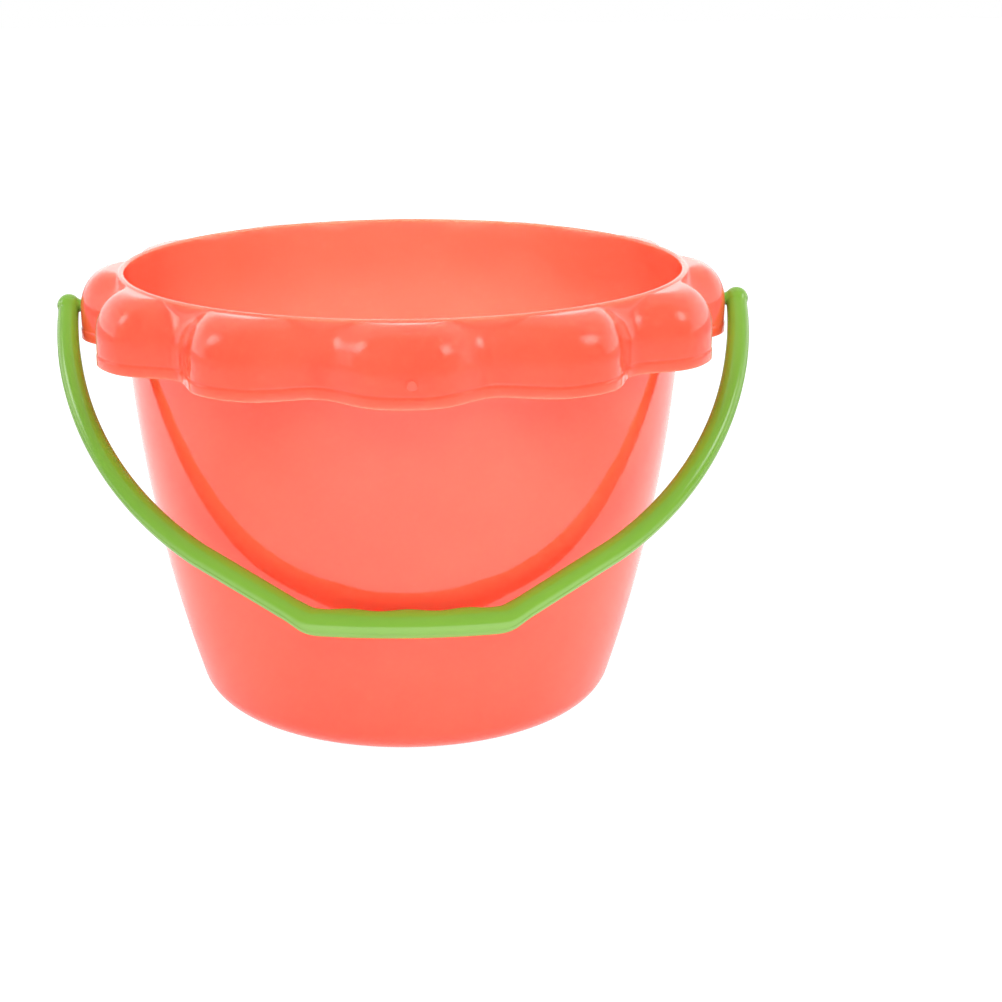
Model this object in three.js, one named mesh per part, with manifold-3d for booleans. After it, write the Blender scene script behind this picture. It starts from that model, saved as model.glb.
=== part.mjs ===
// Sand bucket with a scalloped collar and a swinging bail handle.
// Millimetres, +Z up. Origin: centre of the base, on the ground. +X: along the handle's pivot axis.
// -Y: the side the handle hangs on at rest.

import * as THREE from 'three';
import { mergeVertices } from 'three/addons/utils/BufferGeometryUtils.js';
import Module from 'manifold-3d';

const wasm = await Module();
wasm.setup();

// ---------- driving dimensions ----------

const DEG = Math.PI / 180;

// pot
const HEIGHT = 110;
const WALL = 1.5;
const BASE_CORNER_RADIUS = 8.6;
const LOW_WALL_RADIUS = 53.8;
const HIGH_WALL_RADIUS = 68.3;
const HIGH_WALL_HEIGHT = 88;
const WALL_BELLY = 2.3;
const LIP_OUTER_RADIUS = 70.1;
const BASE_RECESS = 0.8;
const BASE_RECESS_RADIUS = 37;
const FLOOR_TOP = BASE_RECESS + WALL;

// collar
const LOBES = 12;
const LOBE_RADIUS = 80.35;
const VALLEY_RADIUS = 72.8;
const LOBE_FULLNESS = 0.7;
const SKIRT_BOTTOM = 92.7;
const BAND_HEIGHT = 2.4;
const BAND_STEP = 0.45;
const COLLAR_TOP = 109.6;
const EDGE_ROUND_WIDTH = 8;
const EDGE_ROUND_HEIGHT = 10;
const HOLLOW_TOP_AT_LOBE = 107.6;
const HOLLOW_TOP_AT_VALLEY = 104.6;
const LIP_BLEND = 0.8;

// handle
const PIVOT_HEIGHT = 100;
const BOW_HALF_WIDTH = 83.35;
const BOW_DEPTH = 87;
const BOW_END_SLOPE = 36.5 * DEG;
const GRIP_HALF_LENGTH = 22.4;
const GRIP_DROP = 89.3;
const GRIP_SAG = 1;
const ARM_RADIUS = 2.8;
const GRIP_RADIUS = 3.35;
const GROOVE_PITCH = 13.4;
const GROOVE_DEPTH = 0.7;
const BALL_RADIUS = 2.95;
const HANG_ANGLE = 46.9 * DEG;

// pivot pins and their holes in the collar
const PIN_RADIUS = 1.5;
const HOLE_RADIUS = 2;
const HEAD_RADIUS = 2.35;
const HEAD_START = 77;
const HEAD_TIP = 74.2;

const AROUND = 96;

const CORAL = new THREE.Color(1, 0.42, 0.32);
const GREEN = new THREE.Color(0.5, 0.72, 0.24);

// ---------- outlines ----------

// Outer radius of the pot's wall at a height, above the rounded bottom corner.
function wallRadius(height) {
  const t = (height - BASE_CORNER_RADIUS) / (HIGH_WALL_HEIGHT - BASE_CORNER_RADIUS);
  if (t <= 1) {
    return LOW_WALL_RADIUS + (HIGH_WALL_RADIUS - LOW_WALL_RADIUS) * t + WALL_BELLY * 4 * t * (1 - t);
  }
  const up = (height - HIGH_WALL_HEIGHT) / (HEIGHT - HIGH_WALL_HEIGHT);
  return HIGH_WALL_RADIUS + (LIP_OUTER_RADIUS - HIGH_WALL_RADIUS) * up;
}

// 1 on the middle of a lobe, 0 in the valley between two lobes. Fullness squares the lobe off.
function lobeShare(angle) {
  const wave = (1 + Math.cos(LOBES * angle)) / 2;
  return wave * (1 + LOBE_FULLNESS * (1 - wave));
}

function skirtRadius(angle) {
  return VALLEY_RADIUS + (LOBE_RADIUS - VALLEY_RADIUS) * lobeShare(angle);
}

// How much further a wall of unit thickness reaches along the radius than across the wall.
function slant(angle) {
  const small = 0.002;
  const slope = (skirtRadius(angle + small) - skirtRadius(angle - small)) / (2 * small);
  return Math.hypot(1, slope / skirtRadius(angle));
}

// A value that follows x where x is large and settles gently at zero where x is negative.
function settle(x, softness) {
  return (x + Math.hypot(x, softness)) / 2;
}

// A point of the collar at an inset from the skirt, kept outside an inner radius.
function collarPoint(angle, inset, height, innerRadius) {
  const radius = skirtRadius(angle) - inset * slant(angle);
  return [innerRadius + settle(radius - innerRadius, LIP_BLEND), height];
}

// Inset and height along the collar's rounded top edge, turn 0 at the skirt and 1 on top.
function edgeRound(turn) {
  const angle = turn * Math.PI / 2;
  return {
    inset: BAND_STEP + EDGE_ROUND_WIDTH * (1 - Math.cos(angle)),
    height: COLLAR_TOP - EDGE_ROUND_HEIGHT * (1 - Math.sin(angle)),
  };
}

// ---------- the shell ----------

// Each station is a ring of the closed section: a function from angle to [radius, height].
function shellStations() {
  const stations = [];
  const ring = (radius, height) => stations.push(() => [radius, height]);

  // underside and rounded bottom corner
  ring(0, BASE_RECESS);
  ring(BASE_RECESS_RADIUS, BASE_RECESS);
  ring(BASE_RECESS_RADIUS + 1.2, 0);
  const cornerCentre = LOW_WALL_RADIUS - BASE_CORNER_RADIUS;
  for (const turn of [0, 22, 45, 66, 84]) {
    ring(
      cornerCentre + BASE_CORNER_RADIUS * Math.sin(turn * DEG),
      BASE_CORNER_RADIUS * (1 - Math.cos(turn * DEG)),
    );
  }

  // outside of the wall, up into the hollow of the collar
  for (const height of [22, 37, 54, 72, 90]) {
    ring(wallRadius(height), height);
  }
  stations.push((angle) => {
    const top = hollowTop(angle);
    return [wallRadius(top), top];
  });

  // inside of the skirt, down to its bottom edge
  for (const share of [1, 0.8, 0.5, 0]) {
    stations.push((angle) => {
      const height = SKIRT_BOTTOM + share * (hollowTop(angle) - SKIRT_BOTTOM);
      const rise = Math.max(0, height + WALL - (COLLAR_TOP - EDGE_ROUND_HEIGHT)) / EDGE_ROUND_HEIGHT;
      const rounding = EDGE_ROUND_WIDTH * (1 - Math.sqrt(Math.max(0, 1 - rise * rise)));
      const inset = BAND_STEP + WALL + rounding;
      return collarPoint(angle, inset, height, wallRadius(height) + 0.35);
    });
  }

  // bottom band, skirt and rounded top edge of the collar
  stations.push((angle) => [skirtRadius(angle), SKIRT_BOTTOM]);
  stations.push((angle) => [skirtRadius(angle), SKIRT_BOTTOM + BAND_HEIGHT]);
  stations.push((angle) => collarPoint(angle, BAND_STEP, SKIRT_BOTTOM + BAND_HEIGHT + 0.3, LIP_OUTER_RADIUS));
  for (const turn of [0, 0.22, 0.42, 0.6, 0.78, 1]) {
    const { inset, height } = edgeRound(turn);
    stations.push((angle) => collarPoint(angle, inset, height, LIP_OUTER_RADIUS));
  }

  // lip and inside of the pot
  ring(LIP_OUTER_RADIUS - 0.1, COLLAR_TOP + 0.05);
  ring(LIP_OUTER_RADIUS - 0.2, HEIGHT);
  ring(LIP_OUTER_RADIUS - WALL, HEIGHT);
  for (const height of [90, 72, 54, 37, 22]) {
    ring(wallRadius(height) - WALL, height);
  }
  const innerCorner = BASE_CORNER_RADIUS - WALL;
  for (const turn of [84, 60, 35, 10]) {
    ring(
      cornerCentre + innerCorner * Math.sin(turn * DEG),
      FLOOR_TOP + innerCorner * (1 - Math.cos(turn * DEG)),
    );
  }
  ring(0, FLOOR_TOP);
  return stations;
}

function hollowTop(angle) {
  return HOLLOW_TOP_AT_VALLEY + (HOLLOW_TOP_AT_LOBE - HOLLOW_TOP_AT_VALLEY) * lobeShare(angle);
}

// A turned solid whose rings may swell with the angle.
function turnedSolid(stations) {
  const section = stations.map((station) => new THREE.Vector2(...station(0)));
  const geometry = new THREE.LatheGeometry(section, AROUND);
  geometry.rotateX(Math.PI / 2);
  const position = geometry.getAttribute('position');
  for (let step = 0; step <= AROUND; step += 1) {
    const angle = (step % AROUND) * 2 * Math.PI / AROUND;
    stations.forEach((station, index) => {
      const [radius, height] = station(angle);
      const vertex = step * stations.length + index;
      position.setXYZ(vertex, radius * Math.sin(angle), -radius * Math.cos(angle), height);
    });
  }
  return geometry;
}

// ---------- the handle ----------

// Half of the bow's centreline in the handle's own plane, x across and z down from the pivot.
function bowCurve() {
  const points = [];
  const tangentTurn = Math.atan2(BOW_DEPTH, BOW_HALF_WIDTH * Math.tan(BOW_END_SLOPE));
  const arcSteps = 16;
  for (let step = 0; step <= arcSteps; step += 1) {
    const turn = tangentTurn * step / arcSteps;
    points.push([BOW_HALF_WIDTH * Math.cos(turn), BOW_DEPTH * Math.sin(turn)]);
  }
  const gripEnd = GRIP_DROP - GRIP_SAG;
  const last = points[points.length - 1];
  points.push([(last[0] + GRIP_HALF_LENGTH * 2) / 3, (last[1] + gripEnd * 2) / 3]);
  points.push([GRIP_HALF_LENGTH + 2.6, gripEnd - 1.9]);
  points.push([GRIP_HALF_LENGTH - 1.2, gripEnd - 0.15]);
  const gripSteps = 6;
  for (let step = 1; step <= gripSteps; step += 1) {
    const x = (GRIP_HALF_LENGTH - 3) * (1 - step / gripSteps);
    points.push([x, GRIP_DROP - GRIP_SAG * (x / GRIP_HALF_LENGTH) ** 2]);
  }
  const right = points.map(([x, drop]) => new THREE.Vector3(x, 0, -drop));
  const left = right.slice(0, -1).reverse().map((point) => new THREE.Vector3(-point.x, 0, point.z));
  return new THREE.CatmullRomCurve3([...right, ...left], false, 'centripetal');
}

function smoothStep(from, to, value) {
  return THREE.MathUtils.smoothstep(value, from, to);
}

// Radius of the rod at a distance from the middle of the bow, measured across.
function rodRadius(across) {
  const inGrip = 1 - smoothStep(GRIP_HALF_LENGTH - 3, GRIP_HALF_LENGTH + 5, Math.abs(across));
  return ARM_RADIUS + (GRIP_RADIUS - ARM_RADIUS) * inGrip;
}

// Depth of the finger grooves on the inner side of the grip.
function grooveDepth(across) {
  const wave = (1 - Math.cos(2 * Math.PI * across / GROOVE_PITCH)) / 2;
  const inGrip = 1 - smoothStep(GRIP_HALF_LENGTH - 5, GRIP_HALF_LENGTH + 2, Math.abs(across));
  return GROOVE_DEPTH * wave * inGrip;
}

// A cylinder bent along the bow, thicker and grooved at the grip.
function rod(curve) {
  const sides = 12;
  const steps = 84;
  const geometry = new THREE.CylinderGeometry(1, 1, 1, sides, steps);
  const position = geometry.getAttribute('position');
  const point = new THREE.Vector3();
  const tangent = new THREE.Vector3();
  for (let index = 0; index < position.count; index += 1) {
    const along = THREE.MathUtils.clamp(0.5 - position.getY(index), 0, 1);
    const crossOut = position.getX(index);
    const crossSide = -position.getZ(index);
    curve.getPointAt(along, point);
    curve.getTangentAt(along, tangent);
    const radius = rodRadius(point.x);
    const groove = grooveDepth(point.x) * Math.max(0, -crossOut) ** 2;
    const out = radius * crossOut + groove;
    // the bow's outward normal lies in its plane, the other way across is the Y axis
    position.setXYZ(
      index,
      point.x - tangent.z * out,
      radius * crossSide,
      point.z + tangent.x * out,
    );
  }
  return geometry;
}

function cylinderAlongX(radius, start, end, side, endRadius = radius) {
  const geometry = new THREE.CylinderGeometry(endRadius, radius, Math.abs(end - start), 20);
  geometry.rotateZ(end > start ? -Math.PI / 2 : Math.PI / 2);
  geometry.translate((start + end) / 2, 0, 0);
  if (side < 0) {
    geometry.rotateZ(Math.PI);
  }
  return geometry;
}

// Ball end, pin and snap head at one end of the bow.
function pivotSolids(side) {
  const ball = new THREE.SphereGeometry(BALL_RADIUS, 20, 12);
  ball.translate(side * BOW_HALF_WIDTH, 0, 0);
  const pin = cylinderAlongX(PIN_RADIUS, BOW_HALF_WIDTH, HEAD_START - 0.4, side);
  const head = cylinderAlongX(HEAD_RADIUS, HEAD_START, HEAD_TIP, side, PIN_RADIUS);
  return [ball, pin, head];
}

// ---------- booleans ----------

function toSolid(geometry) {
  const bare = geometry.clone();
  bare.deleteAttribute('normal');
  bare.deleteAttribute('uv');
  const merged = mergeVertices(bare, 1e-4);
  const mesh = new wasm.Mesh({
    numProp: 3,
    vertProperties: new Float32Array(merged.getAttribute('position').array),
    triVerts: new Uint32Array(dropFlatTriangles(merged)),
  });
  return new wasm.Manifold(mesh);
}

// Triangles that merging has folded to an edge, such as those around a pole, are left out.
function dropFlatTriangles(geometry) {
  const index = geometry.getIndex().array;
  const kept = [];
  for (let start = 0; start < index.length; start += 3) {
    const [a, b, c] = [index[start], index[start + 1], index[start + 2]];
    if (a !== b && b !== c && c !== a) {
      kept.push(a, b, c);
    }
  }
  return kept;
}

function toGeometry(solid) {
  const mesh = solid.getMesh();
  const geometry = new THREE.BufferGeometry();
  geometry.setAttribute('position', new THREE.BufferAttribute(new Float32Array(mesh.vertProperties), 3));
  geometry.setIndex(new THREE.BufferAttribute(new Uint32Array(mesh.triVerts), 1));
  geometry.computeVertexNormals();
  return geometry;
}

// ---------- assembly ----------

function bucketShell() {
  let solid = toSolid(turnedSolid(shellStations()));
  for (const side of [-1, 1]) {
    const hole = cylinderAlongX(HOLE_RADIUS, LOBE_RADIUS + 5, HEAD_START - 2, side);
    hole.translate(0, 0, PIVOT_HEIGHT);
    solid = solid.subtract(toSolid(hole));
  }
  const material = new THREE.MeshStandardMaterial({ color: CORAL, roughness: 0.25, metalness: 0 });
  const mesh = new THREE.Mesh(toGeometry(solid), material);
  mesh.name = 'bucket_shell';
  return mesh;
}

function bailHandle() {
  let solid = toSolid(rod(bowCurve()));
  for (const side of [-1, 1]) {
    for (const piece of pivotSolids(side)) {
      solid = solid.add(toSolid(piece));
    }
  }
  const material = new THREE.MeshStandardMaterial({ color: GREEN, roughness: 0.25, metalness: 0 });
  const mesh = new THREE.Mesh(toGeometry(solid), material);
  mesh.name = 'bail_handle';
  return mesh;
}

const bucket = new THREE.Group();
bucket.add(bucketShell());

// The handle turns about the pivot axis and hangs forward until its grip meets the wall.
const handlePivot = new THREE.Group();
handlePivot.position.set(0, 0, PIVOT_HEIGHT);
handlePivot.rotation.x = -HANG_ANGLE;
handlePivot.add(bailHandle());
bucket.add(handlePivot);

export default bucket;
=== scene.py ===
"""Looks of a sand bucket with a scalloped collar and a swinging bow handle, on its CAD frame.

The shell and the handle are rebuilt from the same outlines as the CAD part, in mesh code at a much
finer step, with rounded edges, the moulded band, the gate mark, the snap pins in their holes and
the parting line. Lengths in the outline functions are millimetres, and every mesh is in metres.
"""

import math

import bmesh
import bpy
import numpy as np
from mathutils import Matrix, Vector


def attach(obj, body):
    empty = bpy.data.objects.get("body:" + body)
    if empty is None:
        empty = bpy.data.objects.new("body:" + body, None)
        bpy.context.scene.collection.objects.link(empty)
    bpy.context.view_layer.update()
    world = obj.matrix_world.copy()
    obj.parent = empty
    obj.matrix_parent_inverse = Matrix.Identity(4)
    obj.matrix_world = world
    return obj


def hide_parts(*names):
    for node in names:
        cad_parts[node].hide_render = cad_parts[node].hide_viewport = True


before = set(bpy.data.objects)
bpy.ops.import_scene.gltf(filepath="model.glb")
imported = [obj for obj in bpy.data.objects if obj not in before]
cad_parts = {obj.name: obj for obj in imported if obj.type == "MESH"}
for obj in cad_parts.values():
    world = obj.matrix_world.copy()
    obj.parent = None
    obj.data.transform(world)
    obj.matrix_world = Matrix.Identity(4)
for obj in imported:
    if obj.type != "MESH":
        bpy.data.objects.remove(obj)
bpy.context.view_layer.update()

MM = 0.001
TAU = 2 * math.pi

# ---------- driving dimensions, millimetres ----------

# pot
HEIGHT = 110
WALL = 1.5
CORNER_RADIUS = 8.6
LOW_WALL_RADIUS = 53.8
HIGH_WALL_RADIUS = 68.3
HIGH_WALL_HEIGHT = 88
WALL_BELLY = 2.3
LIP_OUTER_RADIUS = 70.1
LIP_ROUND = 0.62
BASE_RECESS = 0.8
BASE_RECESS_RADIUS = 37
FLOOR_TOP = BASE_RECESS + WALL

# collar
LOBES = 12
LOBE_RADIUS = 80.35
VALLEY_RADIUS = 72.8
LOBE_FULLNESS = 0.7
SKIRT_BOTTOM = 92.7
SKIRT_FOOT_ROUND = 0.15
OPEN_WALL_TOP = 92.0
BAND_TOP = 95.1
BAND_STEP = 0.14
BAND_BLEND = 0.45
COLLAR_TOP = 109.6
EDGE_ROUND_WIDTH = 8
EDGE_ROUND_HEIGHT = 10
ROUND_START = COLLAR_TOP - EDGE_ROUND_HEIGHT
HOLLOW_TOP_AT_LOBE = 107.6
HOLLOW_TOP_AT_VALLEY = 104.6
INNER_FACE_TOP = 103.2
LIP_BLEND = 0.8
MARK_HEIGHT = 98.0
MARK_ACROSS = 1.15

# handle
PIVOT_HEIGHT = 100
BOW_HALF_WIDTH = 83.35
BOW_DEPTH = 87
BOW_END_SLOPE = math.radians(36.5)
GRIP_HALF_LENGTH = 22.4
GRIP_DROP = 89.3
GRIP_SAG = 1
GRIP_BEND = 1.4
ARM_RADIUS = 2.8
END_RADIUS = 2.55
END_TAPER = 20
GRIP_RADIUS = 3.35
GROOVE_PITCH = 13.4
GROOVE_DEPTH = 0.7
BALL_RADIUS = 2.9
HANG_ANGLE = math.radians(46.9)
PIN_RADIUS = 1.5
HOLE_RADIUS = 2
HEAD_RADIUS = 2.35
HEAD_START = 77
HEAD_TIP = 74.2
PARTING_OFFSET = 0.92
FINE_END = 3.6

# mesh steps
AROUND = 600
CELL_HEIGHT = 0.8
# a patch over a block of cells starts at the block's low left corner
PATCH_START = math.radians(225)


# ---------- outlines of the shell ----------

def wall_radius(height):
    """Outer radius of the pot's wall at a height."""
    height = np.asarray(height, float)
    t = (height - CORNER_RADIUS) / (HIGH_WALL_HEIGHT - CORNER_RADIUS)
    rise = HIGH_WALL_RADIUS - LOW_WALL_RADIUS
    lower = LOW_WALL_RADIUS + rise * t + WALL_BELLY * 4 * t * (1 - t)
    up = (height - HIGH_WALL_HEIGHT) / (HEIGHT - HIGH_WALL_HEIGHT)
    upper = HIGH_WALL_RADIUS + (LIP_OUTER_RADIUS - HIGH_WALL_RADIUS) * up
    return np.where(t <= 1, lower, upper)


def lobe_share(angle):
    wave = (1 + np.cos(LOBES * angle)) / 2
    return wave * (1 + LOBE_FULLNESS * (1 - wave))


def skirt_radius(angle):
    return VALLEY_RADIUS + (LOBE_RADIUS - VALLEY_RADIUS) * lobe_share(angle)


def slant(angle):
    """How much further a wall of unit thickness reaches along the radius than across the wall."""
    small = 0.002
    slope = (skirt_radius(angle + small) - skirt_radius(angle - small)) / (2 * small)
    return np.hypot(1, slope / skirt_radius(angle))


def settle(x, softness):
    return (x + np.hypot(x, softness)) / 2


def collar_radius(angle, inset, inner):
    return inner + settle(skirt_radius(angle) - inset * slant(angle) - inner, LIP_BLEND)


def hollow_top(angle):
    return HOLLOW_TOP_AT_VALLEY + (HOLLOW_TOP_AT_LOBE - HOLLOW_TOP_AT_VALLEY) * lobe_share(angle)


def outer_inset(height):
    """Inset of the collar's outer face at a height above the band."""
    rise = np.clip((height - ROUND_START) / EDGE_ROUND_HEIGHT, 0, 1)
    return BAND_STEP + EDGE_ROUND_WIDTH * (1 - np.sqrt(1 - rise * rise))


def skirt_outside(angle, height):
    return collar_radius(angle, outer_inset(height), LIP_OUTER_RADIUS)


def skirt_inside(angle, height):
    """The hollow's outer wall, one wall thickness inside the collar's outer face."""
    inset = outer_inset(np.minimum(height + WALL, COLLAR_TOP)) + WALL
    return collar_radius(angle, inset, wall_radius(height) + 0.35)


# ---------- mesh building ----------

class Grid:
    """A turned surface as rings of points. Blocks of its cells can be replaced by round patches."""

    def __init__(self, angles):
        self.angles = angles
        self.rings = []
        self.points = []
        self.skipped = set()
        self.faces = []

    def ring(self, radius, height):
        radius = np.broadcast_to(radius, self.angles.shape)
        height = np.broadcast_to(height, self.angles.shape)
        first = len(self.points)
        for a, r, h in zip(self.angles, radius, height):
            self.points.append((r * math.sin(a), -r * math.cos(a), h))
        self.rings.append(first)
        return len(self.rings) - 1

    def index(self, ring, step):
        return self.rings[ring] + step % len(self.angles)

    def patch(self, low_ring, high_ring, low_step, high_step, loops, closed):
        """Replaces a block of cells with rounded loops of points around its middle.

        loops are functions from an angle in the block's own plane to a point. The first angle runs
        along the rings and the second up them.
        """
        border = [self.index(low_ring, s) for s in range(low_step, high_step)]
        border += [self.index(r, high_step) for r in range(low_ring, high_ring)]
        border += [self.index(high_ring, s) for s in range(high_step, low_step, -1)]
        border += [self.index(r, low_step) for r in range(high_ring, low_ring, -1)]
        for r in range(low_ring, high_ring):
            for s in range(low_step, high_step):
                self.skipped.add((r, s % len(self.angles)))
        count = len(border)
        start = PATCH_START
        turns = [start + TAU * k / count for k in range(count)]
        previous = border
        for loop in loops:
            current = []
            for turn in turns:
                current.append(len(self.points))
                self.points.append(loop(turn))
            for k in range(count):
                n = (k + 1) % count
                self.faces.append((previous[k], previous[n], current[n], current[k]))
            previous = current
        if closed:
            self.faces.append(tuple(previous))
        return previous

    def cells(self):
        steps = len(self.angles)
        for r in range(len(self.rings) - 1):
            for s in range(steps):
                if (r, s) not in self.skipped:
                    self.faces.append((
                        self.index(r, s), self.index(r, s + 1),
                        self.index(r + 1, s + 1), self.index(r + 1, s),
                    ))


def mesh_object(name, points, faces, sharp_angle=None):
    """An object made of the points that its faces use: those under a patch are left out."""
    used = sorted({v for face in faces for v in face})
    place = {v: k for k, v in enumerate(used)}
    mesh = bpy.data.meshes.new(name)
    mesh.from_pydata(
        [tuple(c * MM for c in points[v]) for v in used], [],
        [tuple(place[v] for v in face) for face in faces],
    )
    mesh.validate()
    mesh.update()
    mesh.shade_smooth()
    if sharp_angle:
        mesh.set_sharp_from_angle(angle=math.radians(sharp_angle))
    obj = bpy.data.objects.new(name, mesh)
    bpy.context.scene.collection.objects.link(obj)
    return obj


# ---------- the shell ----------

def shell_object():
    angles = np.arange(AROUND) * TAU / AROUND
    grid = Grid(angles)
    bottom_pole = len(grid.points)
    grid.points.append((0, 0, BASE_RECESS))

    # underside: recess, its rounded step, and the foot ring
    for radius in (2, 8, 16, 24, 31, 35, BASE_RECESS_RADIUS - 0.6):
        grid.ring(radius, BASE_RECESS)
    for turn in np.radians([30, 60, 90]):
        grid.ring(
            BASE_RECESS_RADIUS - 0.6 + 0.6 * math.sin(turn),
            BASE_RECESS - 0.4 + 0.4 * math.cos(turn),
        )
    for turn in np.radians([0, 30, 60, 90]):
        grid.ring(BASE_RECESS_RADIUS + 0.7 - 0.5 * math.cos(turn), 0.4 - 0.4 * math.sin(turn))
    grid.ring(BASE_RECESS_RADIUS + 2.2, 0)

    # rounded bottom corner, tangent to the ground and to the leaning wall
    low_rise = HIGH_WALL_HEIGHT - CORNER_RADIUS
    low_slope = (HIGH_WALL_RADIUS - LOW_WALL_RADIUS + 4 * WALL_BELLY) / low_rise
    lean = math.atan(low_slope)
    corner_centre = LOW_WALL_RADIUS - CORNER_RADIUS * math.hypot(1, low_slope)
    corner_end = math.pi / 2 - lean
    grid.ring(corner_centre - 2.5, 0)
    for turn in np.linspace(0, corner_end, 19):
        grid.ring(
            corner_centre + CORNER_RADIUS * math.sin(turn),
            CORNER_RADIUS * (1 - math.cos(turn)),
        )

    # outside of the wall, up into the hollow of the collar
    corner_top = CORNER_RADIUS * (1 - math.cos(corner_end))
    for height in np.linspace(corner_top, OPEN_WALL_TOP, 40)[1:]:
        grid.ring(wall_radius(height), height)
    top = hollow_top(angles)
    for share in (0.3, 0.6, 0.85, 0.97):
        height = OPEN_WALL_TOP + share * (top - OPEN_WALL_TOP)
        grid.ring(wall_radius(height), height)

    # roof of the hollow and the skirt's inner face
    near_wall = wall_radius(top)
    roof_outside = skirt_inside(angles, top)
    for share in (0.15, 0.5, 0.85):
        grid.ring(near_wall + share * (roof_outside - near_wall), top)
    for share in (0.94, 0.8, 0.6, 0.4, 0.2):
        height = INNER_FACE_TOP + share * (top - INNER_FACE_TOP)
        grid.ring(skirt_inside(angles, height), height)
    inner_rings = [
        grid.ring(skirt_inside(angles, height), height)
        for height in INNER_FACE_TOP - CELL_HEIGHT * np.arange(9)
    ]
    for height in (95.6, 94.6, 93.6, 93.15):
        grid.ring(skirt_inside(angles, height), height)
    inner = BAND_STEP + WALL
    for inset, height in ((inner - 0.1, 92.85), (inner - 0.35, SKIRT_BOTTOM), (1.1, SKIRT_BOTTOM)):
        grid.ring(collar_radius(angles, inset, wall_radius(height) + 0.35), height)

    # bottom band: rounded foot, face, and a smooth step back to the skirt
    face = skirt_radius(angles)
    for turn in np.radians([0, 20, 40, 60, 75, 90]):
        grid.ring(
            face - SKIRT_FOOT_ROUND * (1 - math.sin(turn)) * slant(angles),
            SKIRT_BOTTOM + SKIRT_FOOT_ROUND * (1 - math.cos(turn)),
        )
    grid.ring(face, BAND_TOP - BAND_BLEND - 0.4)
    for share in np.linspace(0, 1, 9):
        step = BAND_STEP * (1 - math.cos(share * math.pi)) / 2
        grid.ring(face - step * slant(angles), BAND_TOP + BAND_BLEND * (2 * share - 1))

    # skirt, rounded top edge of the collar and its flat top
    grid.ring(skirt_outside(angles, 95.7), 95.7)
    outer_heights = 96.0 + CELL_HEIGHT * np.arange(10)
    outer_rings = [grid.ring(skirt_outside(angles, height), height) for height in outer_heights]
    start = math.asin((outer_heights[-1] - ROUND_START) / EDGE_ROUND_HEIGHT)
    for turn in np.linspace(start, math.pi / 2, 17)[1:]:
        height = ROUND_START + EDGE_ROUND_HEIGHT * math.sin(turn)
        inset = BAND_STEP + EDGE_ROUND_WIDTH * (1 - math.cos(turn))
        grid.ring(collar_radius(angles, inset, LIP_OUTER_RADIUS), height)
    last = collar_radius(angles, BAND_STEP + EDGE_ROUND_WIDTH, LIP_OUTER_RADIUS)
    lip_foot = LIP_OUTER_RADIUS - 0.05
    for share, rise in ((0.35, 0), (0.7, 0.004), (0.9, 0.02), (1, 0.07)):
        grid.ring(last + share * (lip_foot - last), COLLAR_TOP + rise)

    # lip
    lip_outer = LIP_OUTER_RADIUS - 0.12
    lip_inner = LIP_OUTER_RADIUS - WALL
    lip_rise = HEIGHT - COLLAR_TOP - 0.1
    for turn in np.radians(np.linspace(0, 90, 8)):
        grid.ring(
            lip_outer - LIP_ROUND * (1 - math.cos(turn)),
            HEIGHT - lip_rise * (1 - math.sin(turn)),
        )
    for turn in np.radians(np.linspace(90, 0, 8)):
        grid.ring(
            lip_inner + LIP_ROUND * (1 - math.cos(turn)),
            HEIGHT - LIP_ROUND * (1 - math.sin(turn)),
        )

    # inside of the pot
    grid.ring(wall_radius(HEIGHT - 1.4) - WALL, HEIGHT - 1.4)
    inner_corner = CORNER_RADIUS - WALL
    inner_top = FLOOR_TOP + inner_corner * (1 - math.cos(corner_end))
    for height in np.linspace(HEIGHT - 3, inner_top, 42)[:-1]:
        slope = float(wall_radius(height + 0.5)) - float(wall_radius(height - 0.5))
        grid.ring(wall_radius(height) - WALL * math.hypot(1, slope), height)
    for turn in np.linspace(corner_end, 0, 15):
        grid.ring(
            corner_centre + inner_corner * math.sin(turn),
            FLOOR_TOP + inner_corner * (1 - math.cos(turn)),
        )
    for radius in (42, 34, 24, 14, 6):
        grid.ring(radius, FLOOR_TOP)
    top_pole = len(grid.points)
    grid.points.append((0, 0, FLOOR_TOP))

    # pin holes through the two side lobes
    half = 4
    for side, middle in ((1, AROUND // 4), (-1, 3 * AROUND // 4)):
        def on_skirt(surface, radius, turn, middle=middle):
            height = PIVOT_HEIGHT + radius * math.sin(turn)
            across = radius * math.cos(turn)
            angle = middle * TAU / AROUND + across / LOBE_RADIUS
            r = float(surface(angle, height))
            return (r * math.sin(angle), -r * math.cos(angle), height)
        outer_edge = grid.patch(
            outer_rings[1], outer_rings[9], middle - half, middle + half,
            [
                lambda turn: on_skirt(skirt_outside, 2.7, turn),
                lambda turn: on_skirt(skirt_outside, HOLE_RADIUS + 0.25, turn),
                lambda turn: on_skirt(skirt_outside, HOLE_RADIUS + 0.12, turn),
            ],
            closed=False,
        )
        # the inner face is walked downwards, so its block is mirrored
        inner_edge = grid.patch(
            inner_rings[0], inner_rings[8], middle - half, middle + half,
            [
                lambda turn: on_skirt(skirt_inside, 2.7, -turn),
                lambda turn: on_skirt(skirt_inside, HOLE_RADIUS + 0.05, -turn),
            ],
            closed=False,
        )
        count = len(outer_edge)
        # the tunnel between the two edges, with a small lead-in at the outside
        lead = []
        for k, vertex in enumerate(outer_edge):
            turn = PATCH_START + TAU * k / count
            x, y, z = on_skirt(skirt_outside, HOLE_RADIUS, turn)
            lead.append(len(grid.points))
            grid.points.append((x - side * 0.14, y, z))
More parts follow.
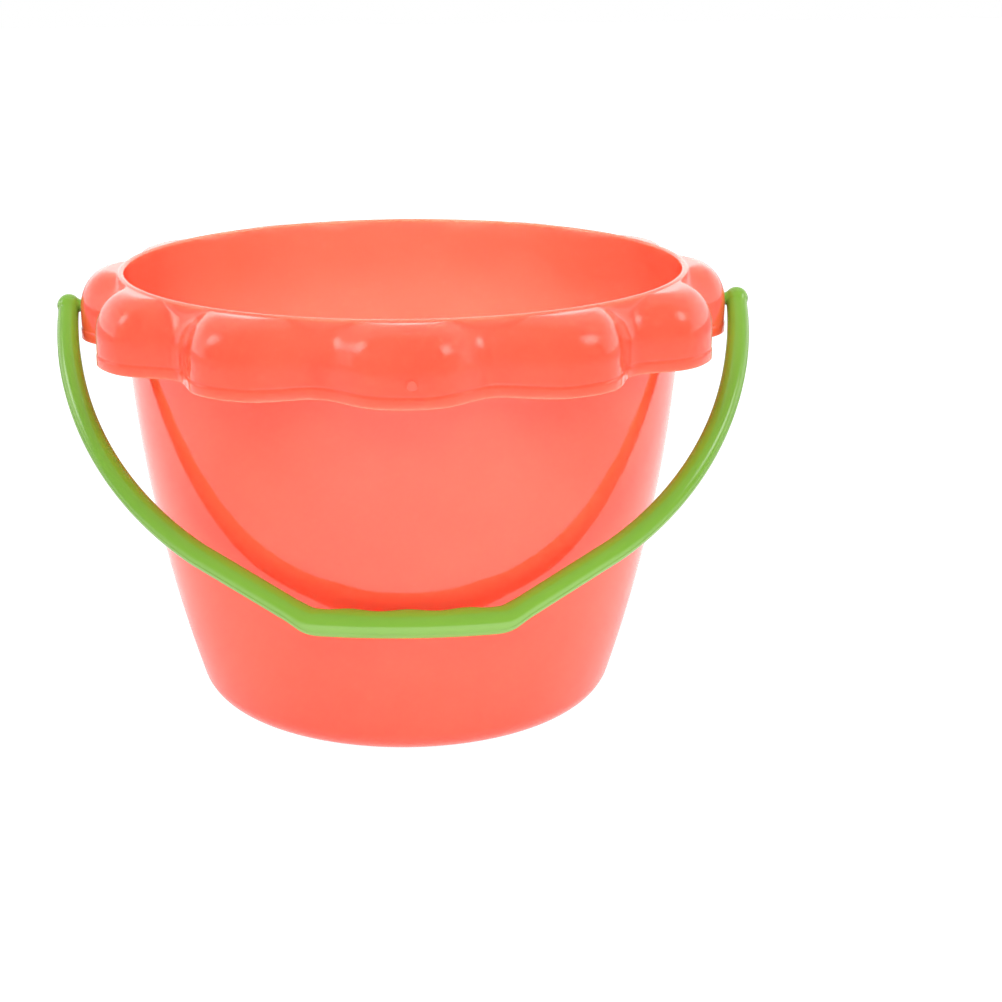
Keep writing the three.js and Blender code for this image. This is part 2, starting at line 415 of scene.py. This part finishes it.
        # inner_edge[k] sits at -turn(k), so the partner of outer k is found by its mirrored angle
        partner = []
        for k in range(count):
            turn = PATCH_START + TAU * k / count
            mirrored = (-turn - PATCH_START) % TAU
            partner.append(inner_edge[round(mirrored / TAU * count) % count])
        for k in range(count):
            n = (k + 1) % count
            grid.faces.append((outer_edge[k], outer_edge[n], lead[n], lead[k]))
            grid.faces.append((lead[k], lead[n], partner[n], partner[k]))

    # the gate mark on the front lobe: a shallow round button whose face leans down a little
    def on_front(radius, lift, turn, lean=0.09):
        height = MARK_HEIGHT + radius * math.sin(turn)
        angle = (MARK_ACROSS + radius * math.cos(turn)) / LOBE_RADIUS
        r = float(skirt_outside(angle, height)) + lift + lean * radius * math.sin(turn)
        return (r * math.sin(angle), -r * math.cos(angle), height)
    mark_low = int(np.argmin(abs(outer_heights - (MARK_HEIGHT - 1.2))))
    mark_steps = round(MARK_ACROSS / LOBE_RADIUS / TAU * AROUND)
    grid.patch(
        outer_rings[mark_low], outer_rings[mark_low + 4], mark_steps - 2, mark_steps + 2,
        [
            lambda turn: on_front(1.25, 0.0, turn, lean=0),
            lambda turn: on_front(1.17, 0.03, turn, lean=0.03),
            lambda turn: on_front(1.1, 0.1, turn),
            lambda turn: on_front(0.8, 0.12, turn),
            lambda turn: on_front(0.4, 0.12, turn),
        ],
        closed=True,
    )

    grid.cells()
    last_ring = len(grid.rings) - 1
    for s in range(AROUND):
        grid.faces.append((bottom_pole, grid.index(0, s + 1), grid.index(0, s)))
        grid.faces.append((grid.index(last_ring, s), grid.index(last_ring, s + 1), top_pole))
    return mesh_object("bucket_shell_moulding", grid.points, grid.faces, 50)


# ---------- the handle ----------

def smooth_step(low, high, value):
    t = np.clip((value - low) / (high - low), 0, 1)
    return t * t * (3 - 2 * t)


def bow_centreline():
    """Points along the bow, across and down from the pivot, their arc lengths, and the last one."""
    tangent_turn = math.atan2(BOW_DEPTH, BOW_HALF_WIDTH * math.tan(BOW_END_SLOPE))
    turns = np.linspace(0, tangent_turn, 300)
    half = [(BOW_HALF_WIDTH * math.cos(t), BOW_DEPTH * math.sin(t)) for t in turns]
    corner = np.array((GRIP_HALF_LENGTH, GRIP_DROP - GRIP_SAG))
    before = np.array(half[-1])
    reach = np.linalg.norm(corner - before)
    for share in np.linspace(0, 1 - GRIP_BEND / reach, 40)[1:]:
        half.append(tuple(before + (corner - before) * share))
    grip = [
        (x, GRIP_DROP - GRIP_SAG * (x / GRIP_HALF_LENGTH) ** 2)
        for x in np.linspace(GRIP_HALF_LENGTH - GRIP_BEND, 0, 60)
    ]
    start, end = np.array(half[-1]), np.array(grip[0])
    for t in np.linspace(0, 1, 24)[1:-1]:
        half.append(tuple((1 - t) ** 2 * start + 2 * t * (1 - t) * corner + t * t * end))
    half = np.array(half + grip)
    whole = np.vstack([half, (half * [-1, 1])[-2::-1]])
    length = np.concatenate([[0], np.cumsum(np.linalg.norm(np.diff(whole, axis=0), axis=1))])
    near_end = np.linspace(0, FINE_END, 28)
    middle = np.linspace(FINE_END, length[-1] - FINE_END, 600)[1:-1]
    along = np.concatenate([near_end, middle, (length[-1] - near_end)[::-1]])
    centre = np.stack([np.interp(along, length, whole[:, axis]) for axis in (0, 1)], -1)
    return centre, along, length[-1]


def rod_radius(across, from_end):
    in_grip = 1 - smooth_step(GRIP_HALF_LENGTH - 3, GRIP_HALF_LENGTH + 5, abs(across))
    arm = END_RADIUS + (ARM_RADIUS - END_RADIUS) * smooth_step(0, END_TAPER, from_end)
    return arm + (GRIP_RADIUS - arm) * in_grip


def groove_depth(across):
    wave = (1 - np.cos(TAU * across / GROOVE_PITCH)) / 2
    in_grip = 1 - smooth_step(GRIP_HALF_LENGTH - 5, GRIP_HALF_LENGTH + 2, abs(across))
    return GROOVE_DEPTH * wave * in_grip


# the parting line's section: degrees from its middle, and how proud it stands there
PARTING_LINE = (
    (-8, 0), (-5, 0), (-3.4, -0.01), (-2.2, -0.05), (-1.1, -0.03),
    (0, 0.02), (1.1, 0.05), (2.2, 0.03), (3.4, 0), (5, 0), (8, 0),
)


def section(radius):
    """Turns round the rod's section, and how proud each point stands there.

    The mould halves met on a plane a little in front of the bow's own plane, so the parting line
    runs along the rod's outer and its inner side.
    """
    outer = -math.degrees(math.asin(PARTING_OFFSET / radius))
    inner = -180 - outer
    turns = [(outer + offset, proud) for offset, proud in PARTING_LINE]
    turns += [(turn, 0) for turn in np.linspace(outer + 8, 360 + inner - 8, 36)[1:-1]]
    turns += [(360 + inner - offset, proud) for offset, proud in reversed(PARTING_LINE)]
    turns += [(turn, 0) for turn in np.linspace(360 + inner + 8, 360 + outer - 8, 26)[1:-1]]
    return turns


def tube_faces(rings, sides):
    return [
        (ring[s], ring[(s + 1) % sides], following[(s + 1) % sides], following[s])
        for ring, following in zip(rings, rings[1:])
        for s in range(sides)
    ]


def bow_mesh():
    centre, along, length = bow_centreline()
    tangent = np.gradient(centre, along, axis=0)
    tangent /= np.linalg.norm(tangent, axis=1)[:, None]
    # the section's outward direction lies in the bow's plane, away from its middle
    outward = np.stack([-tangent[:, 1], tangent[:, 0]], -1)
    outward *= np.sign(np.sum(outward * centre, axis=1))[:, None]
    points, rings = [], []

    def ring(k, width, lift, fade):
        x, drop = centre[k]
        from_end = min(along[k], length - along[k])
        radius = float(rod_radius(x, from_end)) if width is None else width
        if width is None and from_end < BALL_RADIUS:
            ball = math.sqrt(BALL_RADIUS ** 2 - from_end ** 2)
            fade_in = float(smooth_step(0, 0.4, BALL_RADIUS - from_end))
            radius += float(settle(ball - radius, 0.12)) * fade_in
        groove = float(groove_depth(x))
        first = len(points)
        for degrees, proud in section(max(radius, ARM_RADIUS)):
            out, side = math.cos(math.radians(degrees)), math.sin(math.radians(degrees))
            reach = (radius + proud * fade) * out + groove * max(0, -out) ** 2
            points.append((
                x + outward[k, 0] * reach,
                (radius + proud * fade) * side,
                lift - drop - outward[k, 1] * reach,
            ))
        rings.append(range(first, len(points)))

    caps = 16
    last = len(centre) - 1
    cap_turns = [c / caps * math.pi / 2 for c in range(caps - 1, 0, -1)]
    for turn in cap_turns:
        ring(0, BALL_RADIUS * math.cos(turn), BALL_RADIUS * math.sin(turn), 0)
    for k in range(last + 1):
        from_end = min(along[k], length - along[k])
        ring(k, None, 0, float(smooth_step(2, 6, from_end)))
    for turn in reversed(cap_turns):
        ring(last, BALL_RADIUS * math.cos(turn), BALL_RADIUS * math.sin(turn), 0)
    sides = len(rings[0])
    faces = tube_faces(rings, sides)
    for end_ring, k in ((rings[0], 0), (rings[-1], last)):
        pole = len(points)
        points.append((centre[k, 0], 0, BALL_RADIUS - centre[k, 1]))
        faces += [(end_ring[s], end_ring[(s + 1) % sides], pole) for s in range(sides)]
    return points, faces


# the pin with its fillet at the ball and its snap head behind the lobe:
# distance from the bucket's middle, and radius
PIN_OUTLINE = (
    (81.8, 1.2), (81.3, 2.0), (81.05, 1.85), (80.8, 1.66), (80.55, 1.55), (80.25, PIN_RADIUS),
    (HEAD_START + 0.35, PIN_RADIUS), (HEAD_START + 0.1, 1.6), (HEAD_START, 1.8),
    (HEAD_START - 0.05, 2.1), (HEAD_START - 0.15, 2.27), (HEAD_START - 0.4, HEAD_RADIUS),
    (HEAD_START - 0.75, 2.3),
    (HEAD_TIP + 0.4, 1.62), (HEAD_TIP + 0.12, 1.42), (HEAD_TIP, 1.05),
)


def pin_mesh(side):
    sides = 48
    points, rings = [], []
    for across, radius in PIN_OUTLINE:
        first = len(points)
        for s in range(sides):
            turn = s / sides * TAU
            points.append((side * across, radius * math.cos(turn), radius * math.sin(turn)))
        rings.append(range(first, len(points)))
    faces = tube_faces(rings, sides)
    faces += [tuple(rings[0]), tuple(rings[-1])]
    return points, faces


def handle_object():
    points, faces = bow_mesh()
    for side in (1, -1):
        pin_points, pin_faces = pin_mesh(side)
        faces += [tuple(len(points) + v for v in face) for face in pin_faces]
        points += pin_points
    obj = mesh_object("bail_handle_bow", points, faces, 40)
    edit = bmesh.new()
    edit.from_mesh(obj.data)
    bmesh.ops.recalc_face_normals(edit, faces=edit.faces)
    edit.to_mesh(obj.data)
    edit.free()
    obj.data.transform(
        Matrix.Translation((0, 0, PIVOT_HEIGHT * MM)) @ Matrix.Rotation(-HANG_ANGLE, 4, "X")
    )
    return obj


shell = shell_object()
handle = handle_object()


# ---------- materials ----------

# sizes of the surface detail, in repeats a metre
CLOUD_SCALE = 38
HAZE_SCALE = 160
RIPPLE_SCALE = 260
GRAIN_SCALE = 2600
# metres
RIPPLE_HEIGHT = 0.00006

class Nodes:
    """Short calls for the nodes of one tree."""

    def __init__(self, tree):
        self.tree = tree

    def add(self, kind, **settings):
        node = self.tree.nodes.new("ShaderNode" + kind)
        for name, value in settings.items():
            setattr(node, name, value)
        return node

    def link(self, source, target):
        self.tree.links.new(source, target)

    def feed(self, socket, value):
        if isinstance(value, bpy.types.NodeSocket):
            self.link(value, socket)
        else:
            socket.default_value = value

    def math(self, operation, *values):
        node = self.add("Math", operation=operation)
        for socket, value in zip(node.inputs, values):
            self.feed(socket, value)
        return node.outputs["Value"]

    def dot(self, vector, direction):
        node = self.add("VectorMath", operation="DOT_PRODUCT")
        self.link(vector, node.inputs[0])
        node.inputs[1].default_value = direction
        return node.outputs["Value"]

    def distance(self, vector, place):
        node = self.add("VectorMath", operation="DISTANCE")
        self.link(vector, node.inputs[0])
        node.inputs[1].default_value = place
        return node.outputs["Value"]

    def remap(self, value, from_low, from_high, to_low, to_high, smooth=True):
        node = self.add("MapRange", interpolation_type="SMOOTHSTEP" if smooth else "LINEAR")
        for name, number in (
            ("Value", value), ("From Min", from_low), ("From Max", from_high),
            ("To Min", to_low), ("To Max", to_high),
        ):
            self.feed(node.inputs[name], number)
        return node.outputs["Result"]

    def for_camera(self, seen, otherwise):
        mix = self.add("Mix", data_type="FLOAT")
        self.link(self.add("LightPath").outputs["Is Camera Ray"], mix.inputs["Factor"])
        self.feed(mix.inputs["A"], otherwise)
        self.feed(mix.inputs["B"], seen)
        return mix.outputs["Result"]

    def noise(self, vector, scale, detail=2.0):
        node = self.add("TexNoise")
        self.link(vector, node.inputs["Vector"])
        node.inputs["Scale"].default_value = scale
        node.inputs["Detail"].default_value = detail
        return node.outputs["Fac"]


def plastic(name, colour, pale, roughness, scatter, radius, ior):
    """Glossy moulded plastic: clouded pigment, a rippled skin from the mould, and handling haze.

    colour and pale are the ends of the pigment's clouds, roughness the least and the most haze,
    scatter the share of light that goes under the skin, and radius how far it goes, in millimetres.
    """
    material = bpy.data.materials.new(name)
    material.use_nodes = True
    nodes = Nodes(material.node_tree)
    shader = material.node_tree.nodes["Principled BSDF"]
    place = nodes.add("TexCoord").outputs["Object"]

    clouds = nodes.noise(place, CLOUD_SCALE, 3)
    mix = nodes.add("Mix", data_type="RGBA")
    nodes.link(nodes.remap(clouds, 0.3, 0.7, 0, 1), mix.inputs["Factor"])
    mix.inputs["A"].default_value = (*colour, 1)
    mix.inputs["B"].default_value = (*pale, 1)
    nodes.link(mix.outputs["Result"], shader.inputs["Base Color"])

    haze = nodes.noise(place, HAZE_SCALE, 4)
    low, high = roughness
    nodes.link(nodes.remap(haze, 0.3, 0.75, low, high), shader.inputs["Roughness"])

    ripple = nodes.noise(place, RIPPLE_SCALE, 2)
    grain = nodes.noise(place, GRAIN_SCALE, 2)
    bump = nodes.add("Bump")
    bump.inputs["Strength"].default_value = 0.5
    bump.inputs["Distance"].default_value = RIPPLE_HEIGHT
    nodes.link(nodes.math("MULTIPLY_ADD", grain, 0.06, ripple), bump.inputs["Height"])
    nodes.link(bump.outputs["Normal"], shader.inputs["Normal"])

    shader.inputs["IOR"].default_value = ior
    shader.inputs["Subsurface Weight"].default_value = scatter
    shader.inputs["Subsurface Radius"].default_value = radius
    shader.inputs["Subsurface Scale"].default_value = MM
    return material


coral = plastic(
    "coral_plastic", colour=(0.92, 0.092, 0.046), pale=(0.94, 0.102, 0.052),
    roughness=(0.06, 0.10), scatter=1.0, radius=(4.2, 6.5, 6.2), ior=1.5,
)
green = plastic(
    "green_plastic", colour=(0.165, 0.36, 0.028), pale=(0.18, 0.375, 0.032),
    roughness=(0.05, 0.09), scatter=0.35, radius=(0.3, 0.4, 0.2), ior=1.62,
)
shell.data.materials.append(coral)
handle.data.materials.append(green)

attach(shell, "bucket")
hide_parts("bucket_shell")
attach(handle, "handle")
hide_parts("bail_handle")


# ---------- stage ----------

FLOOR_HALF_SIZE = 3
FLOOR_GREY = 0.2
# strengths of the room's light: its back at the horizon, its back high up, and its camera side
LOW_BACK_LIGHT = 1.6
HIGH_BACK_LIGHT = 0.85
FRONT_LIGHT = 0.42
# azimuth, elevation, half width and half height in degrees, edge softness, brightness
SOFTBOXES = (
    (-88, 31, 6.5, 9, 0.12, 4.1),
    (74, 31, 8, 8, 0.13, 4.4),
)
# watts
FILL_POWER = 31
SPOT_POWER = 28


def floor_object():
    """White floor that glows with painted light round the bucket. The camera itself sees it evenly
    white.
    """
    mesh = bpy.data.meshes.new("studio_floor")
    size = FLOOR_HALF_SIZE
    corners = [(-size, -size, 0), (size, -size, 0), (size, size, 0), (-size, size, 0)]
    mesh.from_pydata(corners, [], [(0, 1, 2, 3)])
    floor = bpy.data.objects.new("studio_floor", mesh)
    bpy.context.scene.collection.objects.link(floor)
    material = bpy.data.materials.new("studio_white")
    material.use_nodes = True
    nodes = Nodes(material.node_tree)
    shader = material.node_tree.nodes["Principled BSDF"]
    shader.inputs["Base Color"].default_value = (FLOOR_GREY, FLOOR_GREY, FLOOR_GREY, 1)
    shader.inputs["Roughness"].default_value = 0.9
    place = nodes.add("TexCoord").outputs["Object"]
    # painted light in the floor's glow: painted shade under the bucket, fading out towards the
    # walls, with a painted pool of light in front
    from_bucket = nodes.distance(place, (0, 0, 0))
    shade = nodes.remap(from_bucket, 0.05, 0.12, 0.58, 1)
    around = nodes.remap(from_bucket, 0.3, 0.7, 0.95, 0.3)
    front = nodes.remap(nodes.distance(place, (0.03, -0.2, 0)), 0.08, 0.26, 0.88, 0)
    light = nodes.math("MULTIPLY", shade, nodes.math("ADD", around, front))
    shader.inputs["Emission Color"].default_value = (1, 1, 1, 1)
    nodes.link(nodes.for_camera(1.0, light), shader.inputs["Emission Strength"])
    mesh.materials.append(material)
    return floor


floor_object()

scene = bpy.context.scene
scene.view_settings.view_transform = "Standard"


def toward(azimuth, elevation):
    """Direction to a place in the room. Azimuth 0 is in front of the bucket and 90 on its right."""
    a, e = math.radians(azimuth), math.radians(elevation)
    return Vector((math.sin(a) * math.cos(e), -math.cos(a) * math.cos(e), math.sin(e)))


def softbox(nodes, direction, azimuth, elevation, half_width, half_height, softness):
    """1 inside a soft-edged rectangle on the far wall of the room, 0 outside it."""
    facing = toward(azimuth, elevation)
    across = toward(azimuth + 90, 0)
    up = across.cross(facing)
    depth = nodes.math("MAXIMUM", nodes.dot(direction, facing), 0.05)
    share = nodes.remap(nodes.dot(direction, facing), 0.2, 0.4, 0, 1)
    for axis, half in ((across, half_width), (up, half_height)):
        offset = nodes.math("ABSOLUTE", nodes.math("DIVIDE", nodes.dot(direction, axis), depth))
        edge = math.tan(math.radians(half))
        inside = nodes.remap(offset, edge - softness, edge + softness, 1, 0)
        share = nodes.math("MULTIPLY", share, inside)
    return share


def studio_world():
    """Bright walls and ceiling, a darker camera side, and two softboxes. The camera sees white."""
    world = bpy.data.worlds.new("studio")
    world.use_nodes = True
    nodes = Nodes(world.node_tree)
    direction = nodes.add("TexCoord").outputs["Generated"]
    ahead = nodes.dot(direction, toward(0, 0))
    height = nodes.dot(direction, (0, 0, 1))
    back = nodes.remap(height, 0.15, 0.6, LOW_BACK_LIGHT, HIGH_BACK_LIGHT)
    light = nodes.remap(ahead, -0.15, 0.2, back, FRONT_LIGHT)
    for box in SOFTBOXES:
        *shape, brightness = box
        light = nodes.math("MULTIPLY_ADD", softbox(nodes, direction, *shape), brightness, light)
    background = world.node_tree.nodes["Background"]
    background.inputs["Color"].default_value = (1, 1, 1, 1)
    nodes.link(nodes.for_camera(1.0, light), background.inputs["Strength"])
    return world


scene.world = studio_world()


def lamp(kind, name, place, target, power):
    """A lamp that neither the camera nor a mirror image on the plastic shows."""
    light = bpy.data.lights.new(name, kind)
    light.energy = power
    obj = bpy.data.objects.new(name, light)
    obj.location = place
    obj.rotation_mode = "QUATERNION"
    obj.rotation_quaternion = (Vector(target) - Vector(place)).to_track_quat("-Z", "Y")
    obj.visible_camera = False
    obj.visible_glossy = False
    scene.collection.objects.link(obj)
    return light


# a large soft light above the camera, and a spot that opens up the inside of the bucket
fill = lamp("AREA", "front_fill", (0, -1.3, 1.5), (0, 0, 0.06), FILL_POWER)
fill.shape = "RECTANGLE"
fill.size, fill.size_y = 2.0, 1.0
spot = lamp("SPOT", "inside_spot", (0, -0.25, 0.5), (0, 0.035, 0.08), SPOT_POWER)
spot.color = (1, 1, 1.25)
spot.spot_size = math.radians(18)
spot.spot_blend = 0.6
spot.shadow_soft_size = 0.03


# ---------- camera ----------

CAMERA_TARGET = Vector((0, 0, 0.05))
CAMERA_ROLL = math.radians(-0.5428)

camera_data = bpy.data.cameras.new("camera")
camera_data.sensor_width = 36
camera_data.lens = 68.36
camera_data.shift_x = 0.0960
camera_data.shift_y = -0.0078
camera = bpy.data.objects.new("camera", camera_data)
camera.location = (-0.0033, -0.4686, 0.1933)
aim = (CAMERA_TARGET - camera.location).to_track_quat("-Z", "Y")
camera.rotation_mode = "QUATERNION"
camera.rotation_quaternion = aim @ Matrix.Rotation(CAMERA_ROLL, 4, "Z").to_quaternion()
scene.collection.objects.link(camera)
scene.camera = camera
